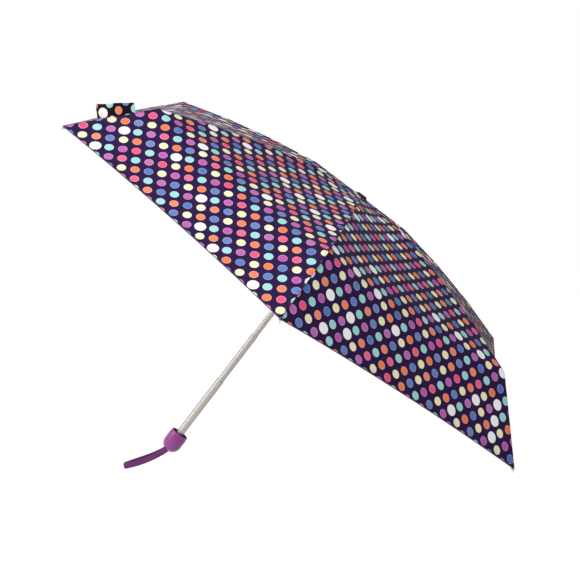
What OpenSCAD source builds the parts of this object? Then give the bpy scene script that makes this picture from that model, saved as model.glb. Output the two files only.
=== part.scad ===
// Folding umbrella for a child: a five-tube shaft, six ribs of five sections and a cup-shaped handle.
// It stands upright with the shaft along +Z. The origin is the middle of the handle's grip band.
// Rib 1 points to -Y, and the others follow anticlockwise seen from above.

/* [Handle] */
// Radius of the grip band
grip_r = 13.8; // [13:0.1:20]
// Length of the grip band
grip_length = 12; // [8:1:20]
// Height of the tapered collar above the grip band
collar_height = 6; // [3:1:10]
// Radius of the rim at the top of the collar
rim_r = 13.2; // [12.5:0.1:20]
// Wall of the cup at its rim
cup_wall = 1.6; // [1.2:0.1:2.4]
// Depth of the hollow below the rim
hollow_depth = 12; // [9:1:14]
// Depth of the lowest tube's socket below the floor of the hollow
socket_depth = 10; // [6:1:10]

/* [Wrist strap] */
// Width of the strap
strap_width = 9; // [6:0.5:11]
// Thickness of each of its two layers
strap_layer = 1.5; // [1:0.1:2]
// Gap between the two layers
strap_gap = 1.6; // [1:0.1:3]
// Length of the doubled strap along its curve
strap_length = 73; // [45:1:90]
// Lean of the strap away from straight down, where it leaves the handle
strap_start_lean = 17; // [0:1:30]
// Lean of the strap at its far end
strap_end_lean = 42; // [31:1:75]
// Height of the pin that holds the strap above the base of the handle
strap_pin_height = 6.2; // [5:0.1:8]
// Radius of the pin that holds the strap
strap_pin_r = 1.2; // [0.8:0.1:1.6]
// Length of the pin that holds the strap
strap_pin_length = 12; // [10:1:16]

/* [Shaft] */
// Outer radius of the lowest tube
tube_r = 5.5; // [5:0.1:6]
// Step in outer radius between neighbouring tubes
tube_step = 0.7; // [0.6:0.05:0.8]
// Wall of each tube
tube_wall = 0.45; // [0.3:0.05:0.5]
// Exposed length of the lowest tube
first_exposed = 97; // [90:1:130]
// Exposed length of each other tube
section_exposed = 81.5; // [60:0.5:90]
// Length of each tube that stays inside the one below
tube_overlap = 24; // [16:1:30]
// Depth of the peephole below the top of its tube
peephole_depth = 18; // [8:1:20]
// Radius of the peephole
peephole_r = 1.3; // [0.8:0.1:1.6]

/* [Ribs] */
// Length of the first and third sections
odd_section = 83; // [70:1:90]
// Length of the second and fourth sections
even_section = 84; // [70:1:90]
// Length of the outer section
outer_section = 132; // [90:1:150]
// Slope of the first section below level
lean_1 = 2; // [0:0.5:10]
// Slope of the second section
lean_2 = 10; // [4:0.5:20]
// Slope of the third section
lean_3 = 13; // [4:0.5:25]
// Slope of the fourth section
lean_4 = 16; // [4:0.5:30]
// Slope of the outer section
lean_5 = 43; // [20:1:55]
// Width of each section
rib_width = 3; // [2.6:0.1:4]
// Depth of each section
rib_depth = 2; // [1.6:0.1:2.2]
// Wall of the channel under each section
rib_wall = 0.6; // [0.4:0.1:0.8]
// Radius of the knuckle around each hinge
knuckle_r = 1.2; // [1:0.1:1.3]
// Radius of each rivet
rivet_r = 0.5; // [0.4:0.05:0.6]
// Radial clearance around each rivet
rivet_clearance = 0.08; // [0.02:0.01:0.1]
// Offset of the first hinge above the sections it joins
first_offset = 1.5; // [1.25:0.05:1.6]
// Offset of the hinges that fold metal to metal
metal_offset = 1.25; // [1.2:0.05:1.5]
// Offset of the third hinge above the sections it joins
third_offset = 1.75; // [1.3:0.05:1.8]
// Radius of the ball on each tip
tip_r = 2.3; // [1.6:0.1:3]

/* [Hub and runner] */
// Radius of the circle on which the ribs and stretchers are hinged
hinge_circle_r = 9; // [8.6:0.1:10]
// Radius of the notch that holds the ribs
notch_r = 11; // [10.5:0.1:12]
// Height of the notch below the hinges
notch_below = 4; // [3:0.5:8]
// Height of the notch above the hinges
notch_above = 2.6; // [2.2:0.1:3]
// Radius of the cap on the top
cap_r = 8.5; // [5:0.5:11]
// Height of the cap's dome
cap_height = 4; // [2:0.5:6]
// Radius of the runner's crown
crown_r = 12; // [11.5:0.1:13]
// Radial clearance of the runner around the lowest tube
runner_clearance = 0.3; // [0.15:0.05:0.4]
// Wall of the runner's sleeve
sleeve_wall = 1.5; // [1.2:0.1:2]
// Length of the runner's sleeve
sleeve_length = 22; // [16:1:30]
// Distance from the hub hinge to where the stretcher meets the rib
stretcher_reach = 42; // [34:1:46]
// Length of the stretcher between its hinges
stretcher_length = 54; // [48:1:60]
// Thickness of the stretcher
stretcher_thick = 1.4; // [1:0.1:1.6]
// Inward travel of the release button
button_travel = 1.2; // [0.8:0.1:1.4]

/* [Canopy] */
// Gap between the middle of each rib and the fabric
fabric_gap = 3.2; // [3.1:0.1:4]
// Thickness of the canopy's solid
fabric_thick = 0.6; // [0.4:0.1:1]
// Inward bow of the hem between two ribs
hem_bow = 6; // [0:1:15]
// Length of the closing band
band_length = 62; // [40:1:80]
// Height of the closing band above the fabric
band_height = 20; // [12:1:25]
// Thickness of the doubled closing band
band_thick = 3; // [1.5:0.5:4]

/* [Hidden] */
rib_count = 6;
tube_count = 5;
section_count = 5;
gore_steps = 4;
side_gap = 0.1;        // between a tongue and the ears beside it
slot_gap = 0.2;        // between a slot and the piece that turns in it
bar_gap = 1.6;         // from a hinge to the full width of its section
channel_end = 3;       // solid length at each end of a section's channel
tongue_width = 1.4;
head_r = 0.9;
head_thick = 0.3;
eye_wall = 0.8;
spigot_r = 0.8;
spigot_length = 3;
band_clear = 0.5;
canopy_hole_r = 3;
cap_gap = 0.3;
cap_stem_r = 2;
roof_gap = 1.7;        // height of a notch slot above its hinge
seat_above = 1;        // height of the top tube's end above the hinges
crown_below = 4;
crown_above = 1.6;
flange_height = 2;
flange_out = 0.9;
button_width = 4.8;
button_height = 7.6;
button_thick = 1.65;
strap_eye_wall = 1.5;
strap_fit = 0.08;
strap_slot_side = 0.4;
strap_slot_inner = 5;  // reach of the strap's slot past the shaft's axis
strap_solid = [0.2, 0.03];  // shares of its length where the two layers are joined
button_rest_gap = 0.05;
tip_neck = 0.8;        // the tip's neck as a share of its ball
band_inset = 10;       // from the bowed hem to the closing band
round = 96;
small_round = 32;

rim_z = grip_length / 2 + collar_height;
floor_z = rim_z - hollow_depth;
base_z = -grip_length / 2 - grip_r;
strap_pin_z = base_z + strap_pin_height;
bowl_r = rim_r - cup_wall;

// Tube n is 1 at the handle and 5 at the hub.
function tube_outer(n) = tube_r - (n - 1) * tube_step;
function tube_top(n) = rim_z + first_exposed + (n - 1) * section_exposed;
function tube_bottom(n) = n == 1 ? floor_z - socket_depth : tube_top(n - 1) - tube_overlap;
hub_z = tube_top(tube_count) + notch_below;
hub_seat_z = hub_z + seat_above;

// A rib is drawn in its own plane, as [distance from the shaft, height].
leans = [lean_1, lean_2, lean_3, lean_4, lean_5];
lengths = [odd_section, even_section, odd_section, even_section, outer_section];
offsets = [0, first_offset, -metal_offset, third_offset, -metal_offset];
function along(n) = [cos(leans[n]), -sin(leans[n])];
function above(n) = [sin(leans[n]), cos(leans[n])];
function hinge_at(n) = n == 0
    ? [hinge_circle_r, hub_z]
    : section_start(n - 1) + lengths[n - 1] * along(n - 1) + offsets[n] * above(n - 1);
function section_start(n) = hinge_at(n) - offsets[n] * above(n);
function rib_azimuth(k) = -90 + (k - 1) * 360 / rib_count;

crown_lift = acos(stretcher_reach * cos(lean_1) / stretcher_length);
crown_z = hub_z - stretcher_reach * sin(lean_1) - stretcher_length * sin(crown_lift);
runner_bore_r = tube_r + runner_clearance;
sleeve_r = runner_bore_r + sleeve_wall;
stretcher_side = rib_width / 2 + head_thick + slot_gap;
button_inner_r = runner_bore_r + button_travel + button_rest_gap;
button_z = crown_z - crown_below - sleeve_length / 2;

function rib_name(k, n) = str("rib_", k, "_section_", n);

// ---- Shared shapes ----

module across(r, from, to, facets = small_round) {
    translate([0, from, 0]) rotate([-90, 0, 0]) cylinder(r = r, h = to - from, $fn = facets);
}

module round_ring(outer, inner, height, facets = round) {
    difference() {
        cylinder(r = outer, h = height, $fn = facets);
        translate([0, 0, -1]) cylinder(r = inner, h = height + 2, $fn = facets);
    }
}

// Places a section's own axes: X along it, Y across it and Z out of its upper face.
module on_section(k, n) {
    start = section_start(n - 1);
    rotate([0, 0, rib_azimuth(k)])
        translate([start[0], 0, start[1]])
            rotate([0, leans[n - 1], 0]) children();
}

module on_crown_hinge(k) {
    rotate([0, 0, rib_azimuth(k)]) translate([hinge_circle_r, 0, crown_z]) children();
}

// ---- Handle and strap ----

module strap_slot() {
    half_width = strap_gap / 2 + strap_layer + strap_slot_side;
    top = strap_pin_z + strap_pin_r + strap_fit + strap_eye_wall + strap_slot_side;
    translate([-grip_r, -half_width, base_z - 1])
        cube([grip_r + strap_slot_inner, 2 * half_width, top - base_z + 1]);
}

module handle_cup() {
    color("#7a2a70") difference() {
        union() {
            translate([0, 0, grip_length / 2])
                cylinder(r1 = grip_r, r2 = rim_r, h = collar_height, $fn = round);
            translate([0, 0, -grip_length / 2]) cylinder(r = grip_r, h = grip_length, $fn = round);
            intersection() {
                translate([0, 0, -grip_length / 2]) sphere(r = grip_r, $fn = round);
                translate([0, 0, base_z - 1])
                    cylinder(r = grip_r + 1, h = grip_r + 1, $fn = round);
            }
        }
        translate([0, 0, floor_z]) cylinder(r = bowl_r, h = hollow_depth + 1, $fn = round);
        translate([0, 0, floor_z - socket_depth])
            cylinder(r = tube_r, h = socket_depth + 1, $fn = round);
        strap_slot();
        translate([0, 0, strap_pin_z]) across(strap_pin_r, -strap_pin_length / 2, strap_pin_length / 2);
    }
}

module strap_pin() {
    color("silver") translate([0, 0, strap_pin_z])
        across(strap_pin_r, -strap_pin_length / 2, strap_pin_length / 2);
}

// The strap curves along an arc whose centre lies to its outer side.
strap_arc_r = strap_length / ((strap_end_lean - strap_start_lean) * PI / 180);

module strap_outline(from, to, width) {
    centre = [-strap_arc_r * cos(strap_start_lean), strap_arc_r * sin(strap_start_lean)];
    far = 2 * strap_arc_r;
    translate(centre) intersection() {
        difference() {
            circle(r = strap_arc_r + width / 2, $fn = round);
            circle(r = strap_arc_r - width / 2, $fn = round);
        }
        polygon([[0, 0], far * [cos(from), -sin(from)], far * [cos(to), -sin(to)]]);
    }
}

module wrist_strap() {
    thick = strap_gap + 2 * strap_layer;
    eye_r = strap_pin_r + strap_fit + strap_eye_wall;
    degrees = strap_end_lean - strap_start_lean;
    color("#6a2060") translate([0, 0, strap_pin_z]) difference() {
        union() {
            translate([0, thick / 2, 0]) rotate([90, 0, 0]) linear_extrude(thick)
                strap_outline(strap_start_lean, strap_end_lean, strap_width);
            across(eye_r, -thick / 2, thick / 2);
        }
        translate([0, strap_gap / 2, 0]) rotate([90, 0, 0]) linear_extrude(strap_gap)
            strap_outline(strap_start_lean + degrees * strap_solid[0],
                strap_end_lean - degrees * strap_solid[1], 2 * strap_width);
        across(strap_pin_r + strap_fit, -thick, thick);
    }
}

// ---- Shaft ----

module tube(n) {
    top = n == tube_count ? hub_seat_z : tube_top(n);
    length = top - tube_bottom(n);
    side = n % 2 == 1 ? 180 : 0;
    color("silver") translate([0, 0, tube_bottom(n)]) difference() {
        round_ring(tube_outer(n), tube_outer(n) - tube_wall, length);
        if (n < tube_count)
            rotate([0, 0, side]) translate([0, 0, length - peephole_depth]) rotate([0, 90, 0])
                cylinder(r = peephole_r, h = tube_r + 1, $fn = small_round);
    }
}

// ---- Hub ----

module notch() {
    slot_width = rib_width + 2 * slot_gap;
    color("dimgray") difference() {
        translate([0, 0, hub_z - notch_below])
            cylinder(r = notch_r, h = notch_below + notch_above, $fn = round);
        translate([0, 0, hub_z - notch_below - 1])
            cylinder(r = tube_outer(tube_count), h = hub_seat_z - hub_z + notch_below + 1, $fn = round);
        for (k = [1 : rib_count]) rotate([0, 0, rib_azimuth(k)]) {
            translate([hinge_circle_r - roof_gap, -slot_width / 2, hub_z - notch_below - 1])
                cube([notch_r, slot_width, notch_below + roof_gap + 1]);
            translate([hinge_circle_r, 0, hub_z]) across(rivet_r, -rib_width, rib_width);
        }
    }
}

module notch_pins() {
    color("gainsboro") for (k = [1 : rib_count])
        rotate([0, 0, rib_azimuth(k)]) translate([hinge_circle_r, 0, hub_z])
            across(rivet_r, -rib_width, rib_width);
}

module notch_cap() {
    dome_r = (cap_r * cap_r + cap_height * cap_height) / (2 * cap_height);
    disc_z = hub_z + fabric_gap + fabric_thick + cap_gap;
    color("#241545") {
        translate([0, 0, disc_z]) intersection() {
            translate([0, 0, cap_height - dome_r]) sphere(r = dome_r, $fn = round);
            cylinder(r = cap_r, h = cap_height + 1, $fn = round);
        }
        translate([0, 0, hub_z + notch_above])
            cylinder(r = cap_stem_r, h = disc_z - hub_z - notch_above + 0.5, $fn = small_round);
    }
}

// ---- Runner ----

module runner() {
    slot_top = crown_above + 1;
    slot_back = rivet_r + eye_wall + 2 * slot_gap;
    color("dimgray") difference() {
        union() {
            translate([0, 0, crown_z - crown_below])
                cylinder(r = crown_r, h = crown_below + crown_above, $fn = round);
            translate([0, 0, crown_z - crown_below - sleeve_length])
                cylinder(r = sleeve_r, h = sleeve_length + 1, $fn = round);
            translate([0, 0, crown_z - crown_below - sleeve_length])
                cylinder(r = sleeve_r + flange_out, h = flange_height, $fn = round);
        }
        translate([0, 0, crown_z - crown_below - sleeve_length - 1])
            cylinder(r = runner_bore_r, h = sleeve_length + crown_below + crown_above + 2, $fn = round);
        for (k = [1 : rib_count]) on_crown_hinge(k) {
            translate([-slot_back, stretcher_side - slot_gap, -slot_back])
                cube([crown_r, stretcher_thick + 2 * slot_gap, slot_top + slot_back]);
            runner_pin();
        }
        translate([runner_bore_r - 1, 0, button_z - button_height / 2 - slot_gap])
            translate([0, -button_width / 2 - slot_gap, 0]) cube([sleeve_r, button_width + 2 * slot_gap, button_height + 2 * slot_gap]);
    }
}

module runner_pin() {
    across(rivet_r, stretcher_side - 1, stretcher_side + stretcher_thick + 1);
}

module runner_pins() {
    color("gainsboro") for (k = [1 : rib_count]) on_crown_hinge(k) runner_pin();
}

module runner_button() {
    color("gray") translate([button_inner_r, -button_width / 2, button_z - button_height / 2])
        cube([button_thick, button_width, button_height]);
}

// ---- Ribs and stretchers ----

// Joins a knuckle at height lift to the end of a section's bar.
module lug(from, to, lift, side_from, side_to) {
    low = min(-rib_depth / 2, lift);
    high = max(rib_depth / 2, lift);
    translate([from, side_from, low]) cube([to - from, side_to - side_from, high - low]);
}

module start_knuckle(lift, width, bore_r) {
    difference() {
        union() {
            translate([0, 0, lift]) across(knuckle_r, -width / 2, width / 2);
            lug(0, bar_gap + 0.5, lift, -width / 2, width / 2);
        }
        translate([0, 0, lift]) across(bore_r, -width, width);
    }
}

module end_ears(length, lift) {
    inner = tongue_width / 2 + side_gap;
    outer = rib_width / 2;
    for (side = [[-outer, -inner], [inner, outer]]) {
        translate([length, 0, lift]) across(knuckle_r, side[0], side[1]);
        lug(length - bar_gap - 0.5, length, lift, side[0], side[1]);
    }
    translate([length, 0, lift]) {
        across(rivet_r, -outer, outer);
        across(head_r, outer, outer + head_thick);
        across(head_r, -outer - head_thick, -outer);
    }
}

module section_bar(length, last) {
    finish = last ? length : length - bar_gap;
    difference() {
        translate([bar_gap, -rib_width / 2, -rib_depth / 2])
            cube([finish - bar_gap, rib_width, rib_depth]);
        translate([bar_gap + channel_end, -rib_width / 2 + rib_wall, -rib_depth / 2 - 1])
            cube([finish - bar_gap - 2 * channel_end, rib_width - 2 * rib_wall, rib_depth + 1 - rib_wall]);
    }
}

module rib_section(k, n) {
    last = n == section_count;
    length = lengths[n - 1];
    color("gainsboro") on_section(k, n) {
        if (n == 1) start_knuckle(0, rib_width, rivet_r + rivet_clearance);
        else start_knuckle(offsets[n - 1], tongue_width, rivet_r + rivet_clearance);
        section_bar(length, last);
        if (last) translate([length, 0, 0]) rotate([0, 90, 0])
            cylinder(r = spigot_r, h = spigot_length, $fn = small_round);
        else end_ears(length, offsets[n]);
    }
}

module rib_tip(k) {
    color("white") on_section(k, section_count) translate([outer_section, 0, 0]) rotate([0, 90, 0])
        difference() {
            union() {
                cylinder(r = tip_r * tip_neck, h = tip_r, $fn = small_round);
                translate([0, 0, tip_r]) sphere(r = tip_r, $fn = small_round);
            }
            translate([0, 0, -1]) cylinder(r = spigot_r, h = spigot_length + 1, $fn = small_round);
            translate([0, 0, -tip_r]) cylinder(r = 2 * tip_r, h = tip_r, $fn = small_round);
        }
}

module stretcher(k) {
    outer = stretcher_side + stretcher_thick;
    eye_r = rivet_r + eye_wall;
    color("gainsboro") on_crown_hinge(k) rotate([0, -crown_lift, 0]) {
        difference() {
            union() {
                translate([0, stretcher_side, -rib_depth / 2])
                    cube([stretcher_length, stretcher_thick, rib_depth]);
                across(eye_r, stretcher_side, outer);
                translate([stretcher_length, 0, 0]) across(eye_r, stretcher_side, outer);
            }
            across(rivet_r + rivet_clearance, stretcher_side - 1, outer + 1);
        }
        translate([stretcher_length, 0, 0]) across(head_r, outer, outer + head_thick);
    }
}

// ---- Canopy ----

// Points over a rib at a height above its sections: over the hole, each bend and the tip.
function bend_point(n, height) =
    let (turn = (leans[n] - leans[n - 1]) / 2, middle = (leans[n] + leans[n - 1]) / 2,
         corner = hinge_at(n) - offsets[n] * [sin(middle), cos(middle)] / cos(turn))
    corner + height * [sin(middle), cos(middle)] / cos(turn);
function hole_point(height) =
    section_start(0) + (canopy_hole_r - hinge_circle_r) * along(0) + height * above(0);
function tip_point(height) =
    section_start(section_count - 1) + outer_section * along(section_count - 1)
    + height * above(section_count - 1);
function rib_curve(height) = concat(
    [hole_point(height)],
    [for (n = [1 : section_count - 1]) bend_point(n, height)],
    [tip_point(height)]
);

function rib_point(k, p) = [p[0] * cos(rib_azimuth(k)), p[0] * sin(rib_azimuth(k)), p[1]];
function gore_point(k, share, curve, row) =
    let (p = rib_point(k, curve[row]), q = rib_point(k + 1, curve[row]), here = p + share * (q - p),
         before = row == 0 ? here
             : rib_point(k, curve[row - 1]) * (1 - share) + rib_point(k + 1, curve[row - 1]) * share,
         pull = row == len(curve) - 1 ? hem_bow * 4 * share * (1 - share) / outer_section : 0)
    here + pull * (before - here);

module canopy() {
    inside = rib_curve(fabric_gap);
    outside = rib_curve(fabric_gap + fabric_thick);
    rows = len(inside);
    around = rib_count * gore_steps;
    points = concat(
        [for (row = [0 : rows - 1], j = [0 : around - 1])
            gore_point(1 + floor(j / gore_steps), (j % gore_steps) / gore_steps, outside, row)],
        [for (row = [0 : rows - 1], j = [0 : around - 1])
            gore_point(1 + floor(j / gore_steps), (j % gore_steps) / gore_steps, inside, row)]
    );
    under = rows * around;
    function at(layer, row, j) = layer * under + row * around + j % around;
    faces = concat(
        [for (row = [0 : rows - 2], j = [0 : around - 1]) each [
            [at(0, row, j), at(0, row, j + 1), at(0, row + 1, j + 1)],
            [at(0, row, j), at(0, row + 1, j + 1), at(0, row + 1, j)],
            [at(1, row, j), at(1, row + 1, j + 1), at(1, row, j + 1)],
            [at(1, row, j), at(1, row + 1, j), at(1, row + 1, j + 1)]]],
        [for (j = [0 : around - 1]) each [
            [at(0, 0, j), at(1, 0, j), at(1, 0, j + 1)],
            [at(0, 0, j), at(1, 0, j + 1), at(0, 0, j + 1)],
            [at(0, rows - 1, j), at(1, rows - 1, j + 1), at(1, rows - 1, j)],
            [at(0, rows - 1, j), at(0, rows - 1, j + 1), at(1, rows - 1, j + 1)]]]
    );
    color("#2b1a52") polyhedron(points = points, faces = faces);
}

// The closing band stands along the middle of the gore that faces -X, above its hem.
module closing_band() {
    curve = rib_curve(fabric_gap + fabric_thick);
    hem = curve[len(curve) - 1];
    bend = curve[len(curve) - 2];
    middle = cos(180 / rib_count);
    slope = atan2(bend[1] - hem[1], (bend[0] - hem[0]) * -middle);
    color("#150a2a") rotate([0, 0, 180]) translate([hem[0] * middle, 0, hem[1]])
        rotate([0, slope, 0])
            translate([-band_length - hem_bow - band_inset, -band_thick / 2, band_clear])
                cube([band_length, band_thick, band_height]);
}

handle_cup();
strap_pin();
wrist_strap();
for (n = [1 : tube_count]) tube(n);
notch();
notch_pins();
notch_cap();
runner();
runner_pins();
runner_button();
for (k = [1 : rib_count]) {
    for (n = [1 : section_count]) rib_section(k, n);
    rib_tip(k);
    stretcher(k);
}
canopy();
closing_band();
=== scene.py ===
"""Children's folding umbrella with a dotted canopy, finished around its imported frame."""
import math

import bpy
from bpy.props import FloatProperty, FloatVectorProperty, PointerProperty
from mathutils import Matrix, Vector, noise


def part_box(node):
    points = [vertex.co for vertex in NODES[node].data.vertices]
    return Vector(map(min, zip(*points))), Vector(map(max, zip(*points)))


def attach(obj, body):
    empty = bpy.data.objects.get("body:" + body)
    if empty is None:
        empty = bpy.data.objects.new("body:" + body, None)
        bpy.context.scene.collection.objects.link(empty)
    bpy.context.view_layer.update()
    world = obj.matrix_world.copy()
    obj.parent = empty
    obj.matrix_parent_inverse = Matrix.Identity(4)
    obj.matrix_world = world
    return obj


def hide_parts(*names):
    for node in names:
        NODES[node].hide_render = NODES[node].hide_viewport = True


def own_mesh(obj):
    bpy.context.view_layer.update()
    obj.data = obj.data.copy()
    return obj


bl_info = {
    "name": "Children's Folding Umbrella",
    "version": (1, 0, 0),
    "blender": (4, 5, 0),
    "location": "3D View > Sidebar > Umbrella",
    "description": "Canopy, closing band, handle, strap and finishes of a folding umbrella",
    "category": "Object",
}

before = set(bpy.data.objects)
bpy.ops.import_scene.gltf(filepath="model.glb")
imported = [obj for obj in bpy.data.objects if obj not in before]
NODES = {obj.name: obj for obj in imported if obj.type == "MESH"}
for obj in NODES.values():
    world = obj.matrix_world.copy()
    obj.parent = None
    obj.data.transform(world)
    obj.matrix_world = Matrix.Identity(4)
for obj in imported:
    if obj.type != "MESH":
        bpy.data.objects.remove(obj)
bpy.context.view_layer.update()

RIBS = 6
SECTIONS = 5
MM = 0.001
GORE_SPAN = math.radians(360 / RIBS)
UP = Vector((0, 0, 1))
# Columns of fabric points from a rib to the middle of a gore, as shares of the way to the next rib.
HALF = (0.0, 0.006, 0.014, 0.025, 0.04, 0.06, 0.085, 0.115, 0.15, 0.19, 0.235, 0.285, 0.34, 0.395,
        0.45, 0.5)
ROW_STEP = 6 * MM
# Strips of fabric beside each rib section, and the two sides of a rib.
STRIPS = (1, 2, 3, 4, 8)
SIDE_NAMES = {-1: "left", 1: "right"}
# A distance from the seam at which neither its stitches nor its puckers show.
NO_SEAM = 20 * MM
# Each lamp's place (right, up and towards the camera), power in watts and size.
LAMPS = {
    "side": ((-2.05, 1.0, 0.82), 8.0, 0.35),
    "key": ((-1.0, 1.9, 2.2), 50.0, 0.9),
    "fill": ((1.8, 0.3, 1.6), 3.0, 1.8),
}
LIT_CENTRE = Vector((0, 0, 0.3))

# ---- Sizes and colours ----


def length(name, description, default):
    return FloatProperty(name=name, description=description, default=default, min=0,
                         subtype="DISTANCE", unit="LENGTH", precision=5)


def share(name, description, default):
    return FloatProperty(name=name, description=description, default=default, min=0, max=1,
                         subtype="FACTOR")


def angle(name, description, degrees):
    return FloatProperty(name=name, description=description, default=math.radians(degrees),
                         subtype="ANGLE", unit="ROTATION")


def colour(name, description, hex_code):
    return FloatVectorProperty(name=name, description=description, default=linear(hex_code),
                               size=3, min=0, max=1, subtype="COLOR")


def linear(hex_code):
    """The scene-linear colour of a hex code."""
    parts = [int(hex_code[i:i + 2], 16) / 255 for i in (0, 2, 4)]
    return tuple(c / 12.92 if c <= 0.04045 else ((c + 0.055) / 1.055) ** 2.4 for c in parts)


def scaled(base, by, plus=0.0):
    """A colour made lighter or darker."""
    return tuple(c * by + plus for c in base)


class UmbrellaCanopySizes(bpy.types.PropertyGroup):
    thickness: length("Fabric", "Thickness of the canopy fabric", 0.45 * MM)
    hem_bow: length("Hem bow", "Inward bow of the hem between two ribs", 6 * MM)
    sag: length("Sag", "Inward sag in the middle of a gore", 5 * MM)
    softness: share("Softness", "Share of a gore's length over which a bend is rounded", 0.13)
    pucker: length("Pucker", "Height of the puckers beside a seam", 0.5 * MM)
    pucker_pitch: length("Pucker pitch", "Distance between two puckers", 19 * MM)
    hem_width: length("Hem", "Width of the turned hem", 6.5 * MM)
    keep: share("Folded width", "Share of its width that a folded gore keeps", 0.08)


class UmbrellaBandSizes(bpy.types.PropertyGroup):
    long: length("Length", "Length of the band along the gore", 64 * MM)
    tall: length("Height", "Height of the folded band above the gore", 20 * MM)
    inset: length("Inset", "Distance from the hem to the band", 13 * MM)
    gap: length("Half gap", "Half the distance between the band's two layers", 1 * MM)
    corner: length("Corner", "Radius of the band's upper corners", 3 * MM)


class UmbrellaPrint(bpy.types.PropertyGroup):
    column: length("Column step", "Half the distance between dots along the hem", 13.2 * MM)
    row: length("Row step", "Distance between rows of dots", 11.7 * MM)
    dot: length("Dot", "Radius of a coloured dot", 5.95 * MM)
    white_dot: length("White dot", "Radius of a white dot", 7.6 * MM)
    white_share: share("White share", "Share of the pink places where a dot is white", 0.42)
    ground: colour("Ground", "Ground of the print", "26113f")
    band_ground: colour("Band ground", "Ground of the print on the closing band", "08020c")
    pink: colour("Pink", "Pink dots", "f0507e")
    orange: colour("Orange", "Orange dots", "f37a48")
    blue: colour("Blue", "Blue dots", "4d73bb")
    aqua: colour("Aqua", "Aqua dots", "93d6d3")
    cream: colour("Cream", "Cream dots", "f3ecbb")
    lilac: colour("Lilac", "Lilac dots", "ba53aa")
    thread: colour("Thread", "Sewing thread", "24133c")


class UmbrellaHandle(bpy.types.PropertyGroup):
    rim_r: length("Rim", "Radius of the rim", 13.2 * MM)
    bowl_r: length("Bowl", "Radius of the hollow", 11.6 * MM)
    grip: length("Grip band", "Length of the grip band", 12 * MM)
    slot_half: length("Slot", "Half width of the strap's slot", 2.7 * MM)
    slot_reach: length("Slot reach", "Reach of the strap's slot past the axis", 5 * MM)
    body: colour("Body", "Moulded plastic of the handle", "761a6e")
    ribbon: colour("Ribbon", "Ribbon of the wrist strap", "642062")
    ribbon_length: length("Ribbon length", "Length of the doubled ribbon", 73 * MM)
    ribbon_width: length("Ribbon width", "Width of the ribbon", 9 * MM)
    ribbon_thick: length("Ribbon thickness", "Thickness of one layer of ribbon", 0.8 * MM)
    start_lean: angle("Start lean", "Lean of the strap where it leaves the handle", 17)
    end_lean: angle("End lean", "Lean of the strap at its far end", 42)


class UmbrellaMetal(bpy.types.PropertyGroup):
    tube: colour("Tubes", "Satin tubes of the shaft", "bab4ae")
    rib: colour("Ribs", "Plated channel of the ribs", "b9b9bd")
    black: colour("Nylon", "Moulded nylon of the hub and runner", "18181b")
    grey: colour("Button", "Moulded release button", "6c6d72")
    tip: colour("Tips", "Moulded rib tips", "e2dde2")


class UmbrellaStage(bpy.types.PropertyGroup):
    distance: length("Distance", "Distance from the camera to its aim", 3.063)
    azimuth: angle("Azimuth", "Camera's angle round the shaft", -1.71)
    elevation: angle("Elevation", "Camera's angle above level", 6.99)
    roll: angle("Roll", "Camera's turn about its line of sight", 37.45)
    aim_side: FloatProperty(name="Aim side", description="Aim to the side of the shaft",
                            default=0.0004, unit="LENGTH")
    aim_height: length("Aim height", "Aim above the handle", 0.2746)
    lens: FloatProperty(name="Lens", description="Focal length", default=132.95,
                        subtype="DISTANCE_CAMERA")
    ambient: share("Ambient", "Strength of the light from the pale surroundings", 0.5)
    floor: FloatProperty(name="Floor", description="Height of the floor", default=-0.62,
                         unit="LENGTH")


# ---- Node tools ----


class Tree:
    """Adds nodes to a shader tree. A value is a number, a colour or another node's socket."""

    def __init__(self, tree):
        self.tree = tree

    def add(self, kind, inputs=None, **settings):
        node = self.tree.nodes.new(kind)
        for key, value in settings.items():
            setattr(node, key, value)
        for key, value in (inputs or {}).items():
            self.feed(node.inputs[key], value)
        return node

    def feed(self, socket, value):
        if isinstance(value, bpy.types.NodeSocket):
            self.tree.links.new(value, socket)
        elif socket.type == "RGBA" and len(value) == 3:
            socket.default_value = (*value, 1)
        else:
            socket.default_value = value

    def math(self, operation, a, b=0.0, c=0.0):
        node = self.tree.nodes.new("ShaderNodeMath")
        node.operation = operation
        for socket, value in zip(node.inputs, (a, b, c)):
            self.feed(socket, value)
        return node.outputs[0]

    def times(self, a, b):
        return self.math("MULTIPLY", a, b)

    def mix(self, factor, a, b):
        node = self.add("ShaderNodeMix", data_type="RGBA")
        self.feed(node.inputs[0], factor)
        self.feed(node.inputs[6], a)
        self.feed(node.inputs[7], b)
        return node.outputs[2]

    def smooth(self, value, low, high, to_low=0.0, to_high=1.0):
        return self.add("ShaderNodeMapRange", {"Value": value, "From Min": low, "From Max": high,
                                               "To Min": to_low, "To Max": to_high},
                        interpolation_type="SMOOTHSTEP").outputs[0]

    def parts(self, vector):
        return self.add("ShaderNodeSeparateXYZ", {"Vector": vector}).outputs

    def vector(self, x, y, z=0.0):
        return self.add("ShaderNodeCombineXYZ", {"X": x, "Y": y, "Z": z}).outputs[0]

    def noise(self, vector, scale, detail=3.0, rough=0.55):
        return self.add("ShaderNodeTexNoise", {"Vector": vector, "Scale": scale, "Detail": detail,
                                               "Roughness": rough}).outputs[0]

    def object_coords(self):
        return self.add("ShaderNodeTexCoord").outputs["Object"]

    def uv(self, name):
        return self.add("ShaderNodeUVMap", uv_map=name).outputs[0]

    def bump(self, height, distance, strength=1.0, normal=None):
        inputs = {"Height": height, "Distance": distance, "Strength": strength}
        if normal is not None:
            inputs["Normal"] = normal
        return self.add("ShaderNodeBump", inputs).outputs[0]

    def group(self, effect, **inputs):
        node = self.tree.nodes.new("ShaderNodeGroup")
        node.node_tree = effect
        for key, value in inputs.items():
            self.feed(node.inputs[key.replace("_", " ")], value)
        return node.outputs


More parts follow.
